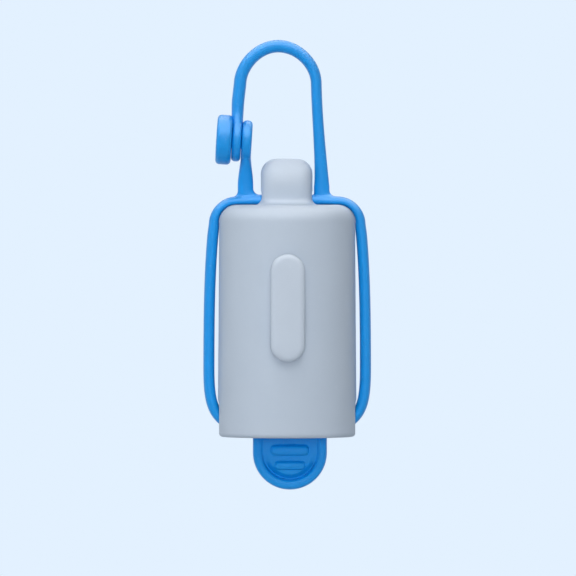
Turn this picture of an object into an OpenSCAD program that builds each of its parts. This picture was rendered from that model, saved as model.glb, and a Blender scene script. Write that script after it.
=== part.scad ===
// Dispenser for a roll of dog waste bags, hung from a leash by its own elastic loop.
// A soft sleeve holds the roll, and one elastic harness runs round it: a loop over the
// leash, a yoke across the top, a rail down each side and a plug that closes the bottom.
// Heights are counted from the sleeve's open bottom edge. The front faces -Y.

/* [Bag roll] */
// Diameter of a full roll of bags
roll_d = 31; // [28:0.5:34]
// Length of the roll
roll_len = 60; // [56:0.5:64]
// Outside diameter of the roll's core
core_d = 14; // [12:0.5:18]
// Thickness of the core's wall
core_t = 1; // [0.8:0.1:1.6]
// Width of the leading bag, gathered to pass the slot
film_w = 32; // [20:0.5:40]
// Thickness of the gathered film
film_t = 0.5; // [0.4:0.05:1]
// How far the leading bag shows outside the slot
film_tail = 5; // [2:0.5:6]

/* [Housing] */
// Thickness of the sleeve's side wall
wall_t = 2; // [1.6:0.1:2.4]
// Thickness of the closed top
top_t = 2.2; // [1.6:0.1:3]
// Free space round the roll
roll_play = 2.5; // [2:0.1:4]
// Free space over the roll
head_room = 2.4; // [1:0.1:5]
// How much wider the sleeve is at the bottom than at the top
taper = 1; // [0:0.1:2]
// Radius of the outer top edge
top_round_r = 5; // [3.5:0.1:6]
// Radius of the inner top edge
cavity_round_r = 2.5; // [1:0.1:3]
// Radius of the outer bottom edge
rim_round_r = 1.2; // [0.4:0.1:1.4]
// Clear space between the film and each side of the slot
slot_gap = 1; // [0.6:0.1:1.5]

/* [Lug and cleat] */
// Width of the lug that the yoke passes through
lug_w = 15.2; // [12:0.1:17]
// Depth of the lug from front to back
lug_depth = 14; // [11:0.5:18]
// Height of the lug over the sleeve
lug_h = 13.5; // [10:0.1:16]
// Place of the lug beside the sleeve's axis
lug_x = -0.15; // [-1:0.05:1]
// Radius of the lug's top corners, seen from the front
lug_corner_r = 4.5; // [2:0.1:5.5]
// Height over which the lug's front and back curve in
lug_arch_h = 9; // [6:0.1:9.5]
// Radius of the fillet where the lug grows out of the sleeve
lug_fillet_r = 1.3; // [0.5:0.1:2]
// Clear space round the yoke in the lug
channel_gap = 0.3; // [0.2:0.05:0.6]
// Height of the slit at the back that the yoke snaps in through
throat_h = 2.2; // [1.5:0.1:2.4]
// Width of the cleat's pill-shaped head
cleat_w = 10; // [8:0.1:14]
// Length of the cleat's head
cleat_len = 31.5; // [24:0.1:40]
// Thickness of the cleat's head
cleat_t = 2.2; // [1.8:0.1:3]
// How far the cleat stands out from the sleeve
cleat_rise = 4; // [3.4:0.1:7]
// Radius of the cleat's edges
cleat_edge_r = 0.9; // [0.4:0.05:0.9]
// Height of the cleat's middle
cleat_z = 38.1; // [30:0.1:44]
// Place of the cleat beside the sleeve's axis
cleat_x = 0.2; // [-1:0.1:1]
// Width of the neck under the cleat's head
neck_w = 5; // [4:0.1:6]
// Length of the neck under the cleat's head
neck_len = 24; // [16:0.5:30]

/* [Harness] */
// Depth of the yoke and the rails from front to back
band_depth = 4.6; // [4:0.1:5.6]
// Thickness of the yoke over the top of the sleeve
yoke_t = 2.9; // [2.5:0.1:3.4]
// Thickness of the band where it turns over the shoulder
shoulder_t = 2.2; // [2:0.1:2.8]
// Thickness of the rails
rail_t = 3.3; // [2.6:0.1:4]
// Clear space between the sleeve and the yoke
band_gap = 0.2; // [0.1:0.05:0.5]
// Clear space between the sleeve and the top of a rail
rail_gap = 0.3; // [0.25:0.05:1]
// Angle at which the rails set out to the sides from the shoulders
rail_splay = 4.5; // [0:0.5:6]
// Clear space between the sleeve and a rail where it bows out most
bow_gap = 1.1; // [0.5:0.1:2]
// Height at which the rails bow out most
bow_z = 20; // [18:0.5:26]
// Clear space between a rail and each side of its notch
notch_gap = 1.05; // [0.5:0.05:1.5]
// Height of the notches in the sleeve that let the rails in
notch_h = 10.5; // [10:0.1:13]
// Thickness of the hanging strap
strap_t = 3.2; // [2.6:0.1:4]
// Depth of the hanging strap from front to back
strap_depth = 4.6; // [4:0.1:5.6]
// Height of the loop over the sleeve
loop_h = 48.4; // [44:0.1:60]
// Radius of the loop's bend, to the middle of the strap
bend_r = 11.2; // [10:0.1:13]
// Place of the loop's bend beside the sleeve's axis
bend_x = -2.65; // [-4:0.05:0]
// Width of the strap's foot and the post's foot
foot_w = 4.6; // [4:0.1:5]
// Depth of the strap's foot and the post's foot
foot_depth = 4; // [3.8:0.1:4.5]
// Height of a foot over the yoke
foot_rise = 2.3; // [2:0.1:3]
// Radius of the fillets where the feet grow out of the yoke
foot_fillet_r = 1.8; // [1:0.1:1.9]
// Clear space between the lug and the strap's foot
strap_lug_gap = 0.4; // [0.3:0.05:1]
// Clear space between the lug and the post's foot
post_lug_gap = 2.2; // [2:0.1:3]

/* [Button] */
// Diameter of the button's head
head_d = 14.6; // [12:0.1:15]
// Thickness of the button's head
head_t = 4.4; // [3:0.1:5.5]
// Radius of the head's edges
head_edge_r = 1.2; // [1:0.1:2]
// Diameter of the button's stem
stem_d = 4.4; // [3.5:0.1:5]
// Clear space between the stem and the eyelet's hole
stem_gap = 0.3; // [0.2:0.05:0.6]
// Clear space between the eyelet and what it lies against
eyelet_gap = 0.2; // [0.15:0.05:0.4]
// Diameter of the eyelet
eyelet_d = 12.4; // [10:0.1:13]
// Length of the eyelet's shank to its seam with the strap
shank_len = 10.5; // [9:0.1:12]
// Diameter of the pad on the post
pad_d = 12.2; // [10:0.1:13]
// Thickness of the pad on the post
pad_t = 2.8; // [2.4:0.1:3.4]
// Height of the button's axis over the top of the sleeve
button_rise = 18.8; // [17.5:0.1:22]
// Lean of the button, its top towards the loop
button_lean = 3.5; // [0:0.5:6]

/* [Plug and pull tab] */
// How far the plug lies inside the sleeve's edge
plug_recess = 0.9; // [0.5:0.1:1.5]
// Thickness of the plug's floor
plug_floor_t = 2.4; // [1.8:0.1:3.5]
// Height of the plug's rim from its underside
plug_rim_h = 5.6; // [5.4:0.1:7]
// Thickness of the plug's rim
plug_rim_t = 1.5; // [1:0.1:1.8]
// Clear space between the plug and the sleeve
plug_gap = 0.35; // [0.3:0.05:0.6]
// Clear space between the roll and the plug's floor
seat_gap = 0.3; // [0.2:0.05:0.5]
// Width of the pull tab
tab_w = 21.8; // [16:0.1:26]
// Length of the pull tab under the sleeve
tab_len = 15.6; // [13:0.1:20]
// Place of the pull tab beside the sleeve's axis
tab_x = 0.8; // [-1:0.1:1]
// Width of the raised rim round the tab
tab_rim_w = 2.9; // [2:0.1:4]
// Thickness of the tab's rim
tab_rim_t = 4.2; // [3.2:0.1:5]
// Thickness of the panel inside the rim
tab_panel_t = 1.8; // [1.6:0.1:2.6]
// Radius of the rim's edges
tab_edge_r = 1; // [0.6:0.1:1.3]
// Length of the longer finger ridge, over the shorter one
ridge_len = 11; // [8:0.1:12]
// Height of the longer finger ridge
ridge_w = 2.8; // [2.2:0.1:3.2]
// Share of the longer ridge's size that the shorter one has
ridge_share = 0.8; // [0.6:0.05:1]
// How far the ridges stand out from the panel
ridge_rise = 1.1; // [0.5:0.1:1.2]
// Depth of the longer ridge under the sleeve's edge
ridge_drop = 4; // [3.5:0.1:5]
// Distance between the two ridges
ridge_pitch = 4.5; // [4:0.05:5.5]

/* [Hidden] */
$fn = 96;
band_sides = 20; // corners of a band's section
band_square = 2.5; // 2 is an ellipse, more is squarer
lug_square = 3.2;
lug_crown = 0.12; // share of the lug's depth that is left at its top
button_shift = 0.15; // how far the button stands outside its foot, as a share of the foot
disc_edge = 0.4; // radius of the edges of the eyelet and the pad, as a share of their thickness
pad_reach = 0.76; // how wide the post gets in the pad, as a share of the pad
sunk = 0.94; // thickness of a band inside a disc, as a share of the disc's
cut = 1; // how far a cutter runs past what it cuts
hair = 0.01; // keeps a shape that is round at both ends from having sides of no length
blue = "#2388e0";
grey = "#b0c0d1";
film_green = "#8fc6a0";
card = "#cfb995";

// The sleeve, sized round the roll
top_r = roll_d / 2 + roll_play + wall_t;
bottom_r = top_r + taper / 2;
roll_z = plug_recess + plug_floor_t + seat_gap;
housing_h = roll_z + roll_len + head_room + top_t;
cavity_h = housing_h - top_t;
corner_x = top_r - top_round_r;
corner_z = housing_h - top_round_r;
function outer_r(z) = bottom_r + (top_r - bottom_r) * z / housing_h;
function inner_r(z) = outer_r(z) - wall_t;
notch_w = band_depth + 2 * notch_gap;

// The film leaves the roll at its back and runs to the right, through the sleeve's wall
film_y = roll_d / 2 + seat_gap + film_t / 2;
film_z = roll_z + roll_len / 2;
film_end_x = sqrt(pow(outer_r(film_z), 2) - pow(film_y, 2)) + film_tail;
slot_w = film_t + 2 * slot_gap;
slot_len = film_w + 2 * slot_gap;

// The yoke, the feet on it and the lug's channel
yoke_z = housing_h + band_gap + yoke_t / 2;
yoke_top_z = yoke_z + yoke_t / 2;
foot_z = yoke_top_z + foot_rise;
strap_foot_x = lug_x + lug_w / 2 + strap_lug_gap + foot_w / 2;
post_foot_x = lug_x - lug_w / 2 - post_lug_gap - foot_w / 2;
channel_w = band_depth + 2 * channel_gap;
channel_top_z = yoke_top_z + channel_gap;
shoulder_z = corner_z - top_round_r;
rail_top_x = outer_r(shoulder_z) + rail_gap + rail_t / 2;
bow_x = outer_r(bow_z) + bow_gap + rail_t / 2;
splay = [sin(rail_splay), -cos(rail_splay)];

// The plug and what it holds
plug_r = inner_r(plug_recess + plug_rim_h) - plug_gap;
rail_end_z = plug_recess + plug_rim_h / 2;
tab_round_z = tab_w / 2 - tab_len;

// The button: its frame's origin is where its axis leaves the pad, and its +Z is that axis
button_z = housing_h + button_rise;
button_x = post_foot_x - button_shift * foot_w;
hole_r = stem_d / 2 + stem_gap;
eyelet_z = eyelet_gap + strap_t / 2;
head_z = 2 * eyelet_gap + strap_t;
lean_up = [sin(button_lean), cos(button_lean)];
lean_out = [-cos(button_lean), sin(button_lean)];
eyelet_at = [button_x, button_z] + eyelet_z * lean_out;
seam_at = eyelet_at + shank_len * lean_up;
pad_at = [button_x, button_z] - pad_t / 2 * lean_out;

// The loop's bend, and the leash in it that is the model's origin
bend_z = housing_h + loop_h - strap_t / 2 - bend_r;
leash_d = 8;
leash_z = bend_z + bend_r - strap_t / 2 - leash_d / 2;

// Moves what is drawn over the sleeve's bottom edge to where it hangs under the leash
module hung() translate([0, 0, -leash_z]) children();

function mix(a, b, t) = a + (b - a) * t;
function share(v, low, high) = min(1, max(0, (v - low) / (high - low)));
function ease(t) = t * t * (3 - 2 * t);
function unit(v) = v / norm(v);
function bezier(a, b, c, d, n) =
    [for (i = [0 : n]) let (t = i / n, s = 1 - t)
        s * s * s * a + 3 * s * s * t * b + 3 * s * t * t * c + t * t * t * d];
function tail_of(p) = [for (i = [1 : len(p) - 1]) p[i]];
function mirrored(p) = [for (i = [len(p) - 1 : -1 : 0]) [-p[i].x, p[i].y, p[i].z]];
function power(v, e) = sign(v) * pow(abs(v), e);
function rounded(a, b, square, sides) =
    [for (i = [0 : sides - 1]) let (t = 360 * (i + 0.5) / sides)
        [a * power(cos(t), 2 / square), b * power(sin(t), 2 / square)]];
function ring_faces(rings, sides) = concat(
    [[for (i = [0 : sides - 1]) i]],
    [for (k = [0 : rings - 2], i = [0 : sides - 1]) let (j = (i + 1) % sides)
        [k * sides + i, (k + 1) * sides + i, (k + 1) * sides + j, k * sides + j]],
    [[for (i = [sides - 1 : -1 : 0]) (rings - 1) * sides + i]]);

// A band in the XZ plane: path holds [x, z], halves holds [half thickness, half depth],
// first and last are the directions in which the path sets out and arrives
module band(path, halves, first, last) {
    n = len(path) - 1;
    points = [for (k = [0 : n])
        let (t = k == 0 ? first : k == n ? last : unit(path[k + 1] - path[k - 1]))
            for (q = rounded(halves[k][0], halves[k][1], band_square, band_sides))
                [path[k].x + t.y * q.x, q.y, path[k].y - t.x * q.x]];
    polyhedron(points, ring_faces(n + 1, band_sides), convexity = 6);
}

// A disc about Z between two heights, with a hole and rounded outer edges
module disc(r, hole, z0, z1, edge) {
    rotate_extrude()
        union() {
            translate([hole, z0])
                square([r - edge - hole, z1 - z0]);
            translate([hole, z0 + edge])
                square([r - hole, z1 - z0 - 2 * edge]);
            for (z = [z0 + edge, z1 - edge])
                translate([r - edge, z])
                    intersection() {
                        circle(edge);
                        translate([0, -edge])
                            square([edge, 2 * edge]);
                    }
        }
}

// A rectangle with round corners, about the origin
module round_rect(w, h, r) {
    square([w - 2 * r, h], center = true);
    square([w, h - 2 * r], center = true);
    for (x = [-1, 1], y = [-1, 1])
        translate([x * (w / 2 - r), y * (h / 2 - r)])
            circle(r);
}

// The right half of a rectangle with round corners
module half_round_rect(w, h, r) {
    intersection() {
        round_rect(w, h, r);
        translate([0, -h])
            square([w, 2 * h]);
    }
}

// A pill standing in the XZ plane, with rounded edges
module pill(w, length, t, edge) {
    translate([0, 0, -(length - w) / 2])
        linear_extrude(length - w)
            round_rect(w, t, edge);
    for (z = [-1, 1])
        translate([0, 0, z * (length - w) / 2])
            rotate([90, 0, 0])
                rotate_extrude()
                    half_round_rect(w, t, edge);
}

module sleeve_outside() {
    rotate_extrude()
        union() {
            polygon([[0, 0], [bottom_r - rim_round_r, 0], [outer_r(rim_round_r), rim_round_r],
                [outer_r(corner_z), corner_z], [corner_x, housing_h], [0, housing_h]]);
            translate([outer_r(rim_round_r) - rim_round_r, rim_round_r])
                circle(rim_round_r);
            translate([outer_r(corner_z) - top_round_r, corner_z])
                circle(top_round_r);
        }
}

module cavity() {
    shelf_z = cavity_h - cavity_round_r;
    rotate_extrude()
        union() {
            polygon([[0, -cut], [inner_r(-cut), -cut], [inner_r(shelf_z), shelf_z],
                [inner_r(shelf_z) - cavity_round_r, cavity_h], [0, cavity_h]]);
            translate([inner_r(shelf_z) - cavity_round_r, shelf_z])
                circle(cavity_round_r);
        }
}

module notches() {
    arch_z = notch_h - notch_w / 2;
    for (side = [-1, 1]) {
        translate([side * top_r, 0, (arch_z - cut) / 2])
            cube([top_r, notch_w, arch_z + cut], center = true);
        translate([side * top_r, 0, arch_z])
            rotate([0, 90, 0])
                cylinder(h = top_r, d = notch_w, center = true);
    }
}

module bag_slot() {
    translate([0, film_y, film_z])
        rotate([90, 0, 90])
            linear_extrude(top_r + cut)
                round_rect(slot_w, slot_len, slot_w / 2 - hair);
}

// The sleeve round the roll, closed at the top
module housing() {
    color(grey)
        hung()
            difference() {
                sleeve_outside();
                cavity();
                notches();
                bag_slot();
            }
}

// Half width and half depth of the lug at a height over the sleeve
function lug_half_w(h) =
    h < lug_fillet_r ? lug_w / 2 + lug_flare(h)
    : h > lug_h - lug_corner_r
        ? lug_w / 2 - lug_corner_r + sqrt(max(0, pow(lug_corner_r, 2) - pow(h - lug_h + lug_corner_r, 2)))
        : lug_w / 2;
function lug_half_depth(h) =
    h < lug_fillet_r ? lug_depth / 2 + lug_flare(h)
    : h > lug_h - lug_arch_h
        ? lug_depth / 2 * mix(lug_crown, 1, sqrt(max(0, 1 - pow((h - lug_h + lug_arch_h) / lug_arch_h, 2))))
        : lug_depth / 2;
function lug_flare(h) = lug_fillet_r - sqrt(pow(lug_fillet_r, 2) - pow(lug_fillet_r - h, 2));

// The lug on the sleeve's top, with a channel for the yoke that is open at the back
module hang_lug() {
    sides = 40;
    foot_steps = 4;
    crown_steps = 9;
    foot = [for (i = [0 : foot_steps]) lug_fillet_r * (1 - cos(90 * i / foot_steps))];
    crown = [for (i = [0 : crown_steps]) lug_h - lug_arch_h * (1 - sin(90 * i / crown_steps))];
    heights = concat(foot, [(lug_fillet_r + lug_h - lug_arch_h) / 2], crown);
    color(grey)
        hung()
            translate([lug_x, 0, housing_h])
                difference() {
                    polyhedron([for (h = heights)
                        for (q = rounded(lug_half_w(h), lug_half_depth(h), lug_square, sides))
                            [q.x, q.y, h]], ring_faces(len(heights), sides), convexity = 4);
                    translate([-lug_w, -channel_w / 2, -cut])
                        cube([2 * lug_w, channel_w, channel_top_z - housing_h + cut]);
                    translate([-lug_w, 0, -cut])
                        cube([2 * lug_w, lug_depth, throat_h + cut]);
                }
}

// The pill-shaped cleat on the front, whose neck holds a used bag's knot
module front_cleat() {
    face_y = -outer_r(cleat_z) - cleat_rise;
    color(grey)
        hung()
            union() {
                translate([cleat_x, face_y + cleat_t / 2, cleat_z])
                    pill(cleat_w, cleat_len, cleat_t, cleat_edge_r);
                difference() {
                    translate([cleat_x, face_y + cleat_t / 2, cleat_z])
                        rotate([-90, 0, 0])
                            linear_extrude(cleat_rise + wall_t)
                                round_rect(neck_w, neck_len, neck_w / 2 - hair);
                    sleeve_outside();
                }
            }
}

// Thickness of the yoke beside a point of the sleeve's outline: it thins from the bar over the
// sleeve's top to the shoulder, and gets as thick as a rail from there to its lower end
function yoke_t_at(x, z) =
    max(mix(yoke_t, shoulder_t, ease(share(x, corner_x / 2, corner_x + top_round_r / 3))),
        mix(rail_t, shoulder_t, ease(share(z, shoulder_z + top_round_r / 4, housing_h))));
function yoke_top_at(x) = abs(x) < corner_x
    ? housing_h + band_gap + yoke_t_at(abs(x), housing_h)
    : corner_z + sqrt(pow(top_round_r + band_gap + shoulder_t, 2) - pow(abs(x) - corner_x, 2));

// The right half of the yoke, as [x, z, half thickness]: the bar, the shoulder and the way down
function yoke_half() =
    let (bar_steps = 5,
        turn_steps = 10,
        down_steps = 4,
        bar = [for (i = [0 : bar_steps - 1])
            let (x = corner_x * i / bar_steps, half_t = yoke_t_at(x, housing_h) / 2)
                [x, housing_h + band_gap + half_t, half_t]],
        turn = [for (i = [0 : turn_steps])
            let (a = 90 - 90 * i / turn_steps,
                half_t = yoke_t_at(corner_x + top_round_r * cos(a), corner_z + top_round_r * sin(a)) / 2,
                r = top_round_r + mix(band_gap, (band_gap + rail_gap) / 2, i / turn_steps) + half_t)
                [corner_x + r * cos(a), corner_z + r * sin(a), half_t]],
        end = [turn[turn_steps].x, corner_z],
        handle = top_round_r / 3,
        down = [for (p = bezier(end, end - [0, handle], [rail_top_x, shoulder_z] - handle * splay,
                [rail_top_x, shoulder_z], down_steps))
            [p.x, p.y, yoke_t_at(p.x, p.y) / 2]])
    concat(bar, turn, tail_of(down));

// A foot that rises from the yoke between two edges, with a fillet beside each
module foot(x0, x1, fillet0, fillet1) {
    levels = 7;
    low0 = yoke_top_at(x0 - fillet0);
    low1 = yoke_top_at(x1 + fillet1);
    function out(r, h) = r - sqrt(r * r - pow(max(0, min(r, r - h)), 2));
    heights = concat([yoke_z],
        [for (i = [0 : levels]) mix(min(low0, low1), foot_z, pow(i / levels, 1.5))]);
    edges = [for (z = heights) [x0 - out(fillet0, z - low0), x1 + out(fillet1, z - low1), z]];
    polyhedron([for (e = edges)
        for (q = rounded((e.y - e.x) / 2, foot_depth / 2, band_square, band_sides))
            [(e.x + e.y) / 2 + q.x, q.y, e.z]],
        ring_faces(len(edges), band_sides), convexity = 4);
}

// Joins bands that run into each other into one mesh
module one_mesh() resize([0, 0, 0]) union() children();

// The bar across the sleeve's top, with its shoulders and the two feet of the loop
module yoke() {
    half = yoke_half();
    line = concat(mirrored(tail_of(half)), half);
    color(blue)
        hung()
            one_mesh() {
                band([for (p = line) [p.x, p.y]], [for (p = line) [p.z, band_depth / 2]],
                    [splay.x, -splay.y], splay);
                foot(post_foot_x - foot_w / 2, post_foot_x + foot_w / 2,
                    foot_fillet_r, foot_fillet_r);
                foot(strap_foot_x - foot_w / 2, strap_foot_x + foot_w / 2,
                    hair, foot_fillet_r);
            }
}

// The right rail: down from the shoulder, bowed out, then in through the notch to the plug
module rail() {
    steps = 10;
    slant = unit([-1, -0.7]);
    start = [rail_top_x, shoulder_z];
    bow = [bow_x, bow_z];
    end = [plug_r - plug_rim_t / 2, rail_end_z];
    fall = shoulder_z - bow_z;
    drop = bow_z - rail_end_z;
    path = concat(
        bezier(start, start + fall / 4 * splay, bow + [0, fall / 2], bow, steps),
        tail_of(bezier(bow, bow - [0, drop * 5 / 8], end - drop / 3 * slant, end, steps)));
    difference() {
        band(path, [for (p = path) [rail_t / 2, band_depth / 2]], splay, slant);
        translate([0, 0, -cut])
            cylinder(h = notch_h + cut, r = plug_r);
    }
}

module right_rail() {
    color(blue)
        hung()
            rail();
}

module left_rail() {
    color(blue)
        hung()
            mirror([1, 0, 0])
                rail();
}

// The strap: up from its foot, over the bend and down to its seam with the eyelet
module hang_strap() {
    round_share = 0.5523; // handle of a Bezier quarter circle, as a share of its radius
    flat = 0.1; // how far the bend is drawn in over its sides
    thin_from = 0.8; // share of the way up at which the strap has thinned
    side = [bend_r, 0];
    middle = [bend_x, bend_z];
    top = middle + [0, bend_r];
    foot_at = [strap_foot_x, foot_z];
    rise = bend_z - foot_z;
    steps = 12;
    path = concat(
        bezier(foot_at, foot_at + [0, rise / 5], middle + side - [-2 * flat, rise / 3], middle + side,
            steps),
        tail_of(bezier(middle + side, middle + side + [-flat, round_share * bend_r],
            top + [round_share * bend_r, 0], top, steps)),
        tail_of(bezier(top, top - [round_share * bend_r, 0],
            middle - side + [flat, round_share * bend_r], middle - side, steps)),
        tail_of(bezier(middle - side, middle - side - [flat, 2], seam_at + 2 * lean_up, seam_at,
            steps / 2)));
    function half_t(k) = mix(foot_w, strap_t, pow(sin(90 * min(1, k / steps / thin_from)), thin_from)) / 2;
    function half_d(k) = mix(foot_depth, strap_depth, min(1, k / steps)) / 2;
    color(blue)
        hung()
            band(path, [for (k = [0 : len(path) - 1]) [half_t(k), half_d(k)]], [0, 1], -lean_up);
}

// Places what is drawn about +Z on the button's axis
module on_button() translate([button_x, 0, button_z]) rotate([0, button_lean - 90, 0]) children();

// The strap's free end: a disc whose hole buttons over the head
module strap_eyelet() {
    steps = 8;
    reach = [for (i = [0 : steps]) mix(shank_len, hole_r, i / steps)];
    color(blue)
        hung()
            difference() {
                union() {
                    on_button()
                        disc(eyelet_d / 2, 0, eyelet_gap, eyelet_gap + strap_t, strap_t * disc_edge);
                    band([for (d = reach) eyelet_at + d * lean_up],
                        [for (d = reach)
                            [mix(sunk, 1, share(d, eyelet_d / 2, shank_len)) * strap_t / 2,
                                mix(strap_depth, eyelet_d, pow(cos(90 * d / shank_len), 3)) / 2]],
                        -lean_up, -lean_up);
                }
                on_button()
                    translate([0, 0, -strap_t])
                        cylinder(h = 3 * strap_t, r = hole_r);
            }
}

// The short post that carries the button, with a round pad behind the eyelet
module strap_post() {
    foot_at = [post_foot_x, foot_z];
    rise = pad_at.y - foot_z;
    steps = 8;
    thin_from = 0.8; // share of the way up at which the post has thinned
    path = bezier(foot_at, foot_at + [0, rise / 3], pad_at - rise / 3 * lean_up, pad_at, steps);
    color(blue)
        hung()
            union() {
                on_button()
                    disc(pad_d / 2, 0, -pad_t, 0, pad_t * disc_edge);
                band(path, [for (k = [0 : steps])
                    [mix(foot_w, pad_t * sunk, ease(min(1, k / steps / thin_from))) / 2,
                        mix(foot_depth, pad_d * pad_reach, ease(k / steps)) / 2]],
                    [0, 1], lean_up);
            }
}

// The button: a stem out of the pad and a thick round head that keeps the eyelet on
module post_button() {
    color(blue)
        hung()
            on_button()
                union() {
                    cylinder(h = head_z + head_t / 2, d = stem_d);
                    disc(head_d / 2, 0, head_z, head_z + head_t, head_edge_r);
                }
}

// The dish that closes the sleeve's bottom and carries the roll
module bottom_plug() {
    edge = plug_rim_t / 3;
    color(blue)
        hung()
            translate([0, 0, plug_recess])
                difference() {
                    disc(plug_r, 0, 0, plug_rim_h, edge);
                    translate([0, 0, plug_floor_t])
                        cylinder(h = plug_rim_h, r = plug_r - plug_rim_t);
                }
}

// Finger ridges on both faces of the tab's panel
module ridges() {
    for (k = [0, 1]) {
        share = k == 0 ? 1 : ridge_share;
        half_w = ridge_w * share / 2;
        sink = (half_w * half_w - ridge_rise * ridge_rise) / (2 * ridge_rise);
        r = sink + ridge_rise;
        reach = ridge_len * share / 2 - half_w;
        for (face = [-1, 1])
            translate([0, face * (tab_panel_t / 2 - sink), -ridge_drop - k * ridge_pitch]) {
                rotate([0, 90, 0])
                    cylinder(h = 2 * reach, r = r, center = true);
                for (x = [-reach, reach])
                    translate([x, 0, 0])
                        sphere(r = r);
            }
    }
}

// The tongue under the plug that a finger and thumb pull to open the bottom
module pull_tab() {
    rim_mid = (tab_w - tab_rim_w) / 2;
    color(blue)
        hung()
            translate([tab_x, 0, 0])
                union() {
                    for (side = [-1, 1])
                        translate([side * rim_mid, 0, tab_round_z])
                            linear_extrude(plug_recess - tab_round_z)
                                round_rect(tab_rim_w, tab_rim_t, tab_edge_r);
                    translate([0, 0, tab_round_z])
                        rotate([90, 0, 0])
                            rotate([0, 0, 180])
                                rotate_extrude(angle = 180)
                                    translate([rim_mid, 0])
                                        round_rect(tab_rim_w, tab_rim_t, tab_edge_r);
                    rotate([90, 0, 0])
                        linear_extrude(tab_panel_t, center = true)
                            union() {
                                translate([-rim_mid, tab_round_z])
                                    square([2 * rim_mid, plug_recess - tab_round_z]);
                                intersection() {
                                    translate([0, tab_round_z])
                                        circle(rim_mid);
                                    translate([-tab_w, tab_round_z - tab_w])
                                        square([2 * tab_w, tab_w]);
                                }
                            }
                    ridges();
                }
}

// The card tube that the bags are wound on
module roll_core() {
    color(card)
        hung()
            translate([0, 0, roll_z])
                difference() {
                    cylinder(h = roll_len, d = core_d);
                    translate([0, 0, -cut])
                        cylinder(h = roll_len + 2 * cut, d = core_d - 2 * core_t);
                }
}

// The wound bags
module bag_roll() {
    wound_gap = 0.05; // between the core and the first turn
    color(film_green)
        hung()
            translate([0, 0, roll_z])
                difference() {
                    cylinder(h = roll_len, d = roll_d);
                    translate([0, 0, -cut])
                        cylinder(h = roll_len + 2 * cut, d = core_d + 2 * wound_gap);
                }
}

// The next bag, which leaves the back of the roll and shows outside the slot
module leading_bag() {
    color(film_green)
        hung()
            translate([0, film_y - film_t / 2, film_z - film_w / 2])
                cube([film_end_x, film_t, film_w]);
}

housing();
hang_lug();
front_cleat();
yoke();
left_rail();
right_rail();
hang_strap();
strap_eyelet();
strap_post();
post_button();
bottom_plug();
pull_tab();
roll_core();
bag_roll();
leading_bag();
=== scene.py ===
import math

import bmesh
import bpy
import numpy as np
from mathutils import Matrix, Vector


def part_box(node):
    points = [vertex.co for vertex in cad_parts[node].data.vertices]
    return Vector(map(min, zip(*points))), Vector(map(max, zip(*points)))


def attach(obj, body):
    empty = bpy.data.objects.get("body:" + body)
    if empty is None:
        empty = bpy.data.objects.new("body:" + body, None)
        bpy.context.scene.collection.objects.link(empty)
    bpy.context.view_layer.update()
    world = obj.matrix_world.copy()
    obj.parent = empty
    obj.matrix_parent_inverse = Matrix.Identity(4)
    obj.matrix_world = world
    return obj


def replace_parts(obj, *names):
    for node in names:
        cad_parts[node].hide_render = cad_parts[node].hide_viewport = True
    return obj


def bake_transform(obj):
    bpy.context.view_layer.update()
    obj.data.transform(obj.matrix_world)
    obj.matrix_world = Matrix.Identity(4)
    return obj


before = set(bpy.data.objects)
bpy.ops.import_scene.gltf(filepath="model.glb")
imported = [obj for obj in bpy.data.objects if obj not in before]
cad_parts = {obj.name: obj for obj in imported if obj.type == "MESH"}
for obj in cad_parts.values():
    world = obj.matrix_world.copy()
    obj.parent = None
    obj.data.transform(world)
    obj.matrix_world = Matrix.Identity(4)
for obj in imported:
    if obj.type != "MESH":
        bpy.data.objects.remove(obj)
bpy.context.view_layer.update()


# Sleeve and lug
# The grey body that holds the roll, one soft silicone moulding with the block on its top. It is
# open at the bottom, where a notch at each side lets a rail in, and a slot at the right of its
# back lets the next bag out. The lug's channel is open at the back, to snap over the harness.


def shell(rings):
    """Points and faces of a closed skin. Rings has the shape (rings, points, 3): each ring is
    joined to the next one and closed on itself, and the first and the last ring are capped."""
    index = np.arange(rings.shape[0] * rings.shape[1]).reshape(rings.shape[:2])
    ahead = np.roll(index, -1, axis=1)
    quads = np.stack([index[:-1], ahead[:-1], ahead[1:], index[1:]], axis=-1).reshape(-1, 4)
    return rings.reshape(-1, 3), quads.tolist() + [index[0, ::-1].tolist(), index[-1].tolist()]


def turned(profile, sides=192):
    """A shell turned about Z: profile has the shape (points, 2) and holds radii and heights,
    and each becomes a ring of that radius."""
    angle = 2 * np.pi * np.arange(sides) / sides
    radius, height = profile[:, :1], profile[:, 1:]
    rings = [radius * np.cos(angle), radius * np.sin(angle), height + 0 * angle]
    return shell(np.stack(rings, axis=-1))


def prism(outline, start, end):
    """A shell along X between two places, of an outline that holds Y and Z."""
    ends = np.array([start, end])[:, None]
    rings = [ends + 0 * outline[:, 0], outline[:, 0] + 0 * ends, outline[:, 1] + 0 * ends]
    return shell(np.stack(rings, axis=-1))


def joined(name, *meshes):
    """One mesh of several, with doubled points merged and the faces turned outwards."""
    work = bmesh.new()
    for part in meshes:
        work.from_mesh(part)
    bmesh.ops.remove_doubles(work, verts=work.verts, dist=1e-7)
    bmesh.ops.recalc_face_normals(work, faces=work.faces)
    mesh = bpy.data.meshes.new(name)
    work.to_mesh(mesh)
    work.free()
    mesh.shade_smooth()
    return mesh


def skin(name, *shells):
    """A mesh of closed shells."""
    parts = []
    for points, faces in shells:
        parts.append(bpy.data.meshes.new(name))
        parts[-1].from_pydata(points, [], faces)
    return joined(name, *parts)


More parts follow.
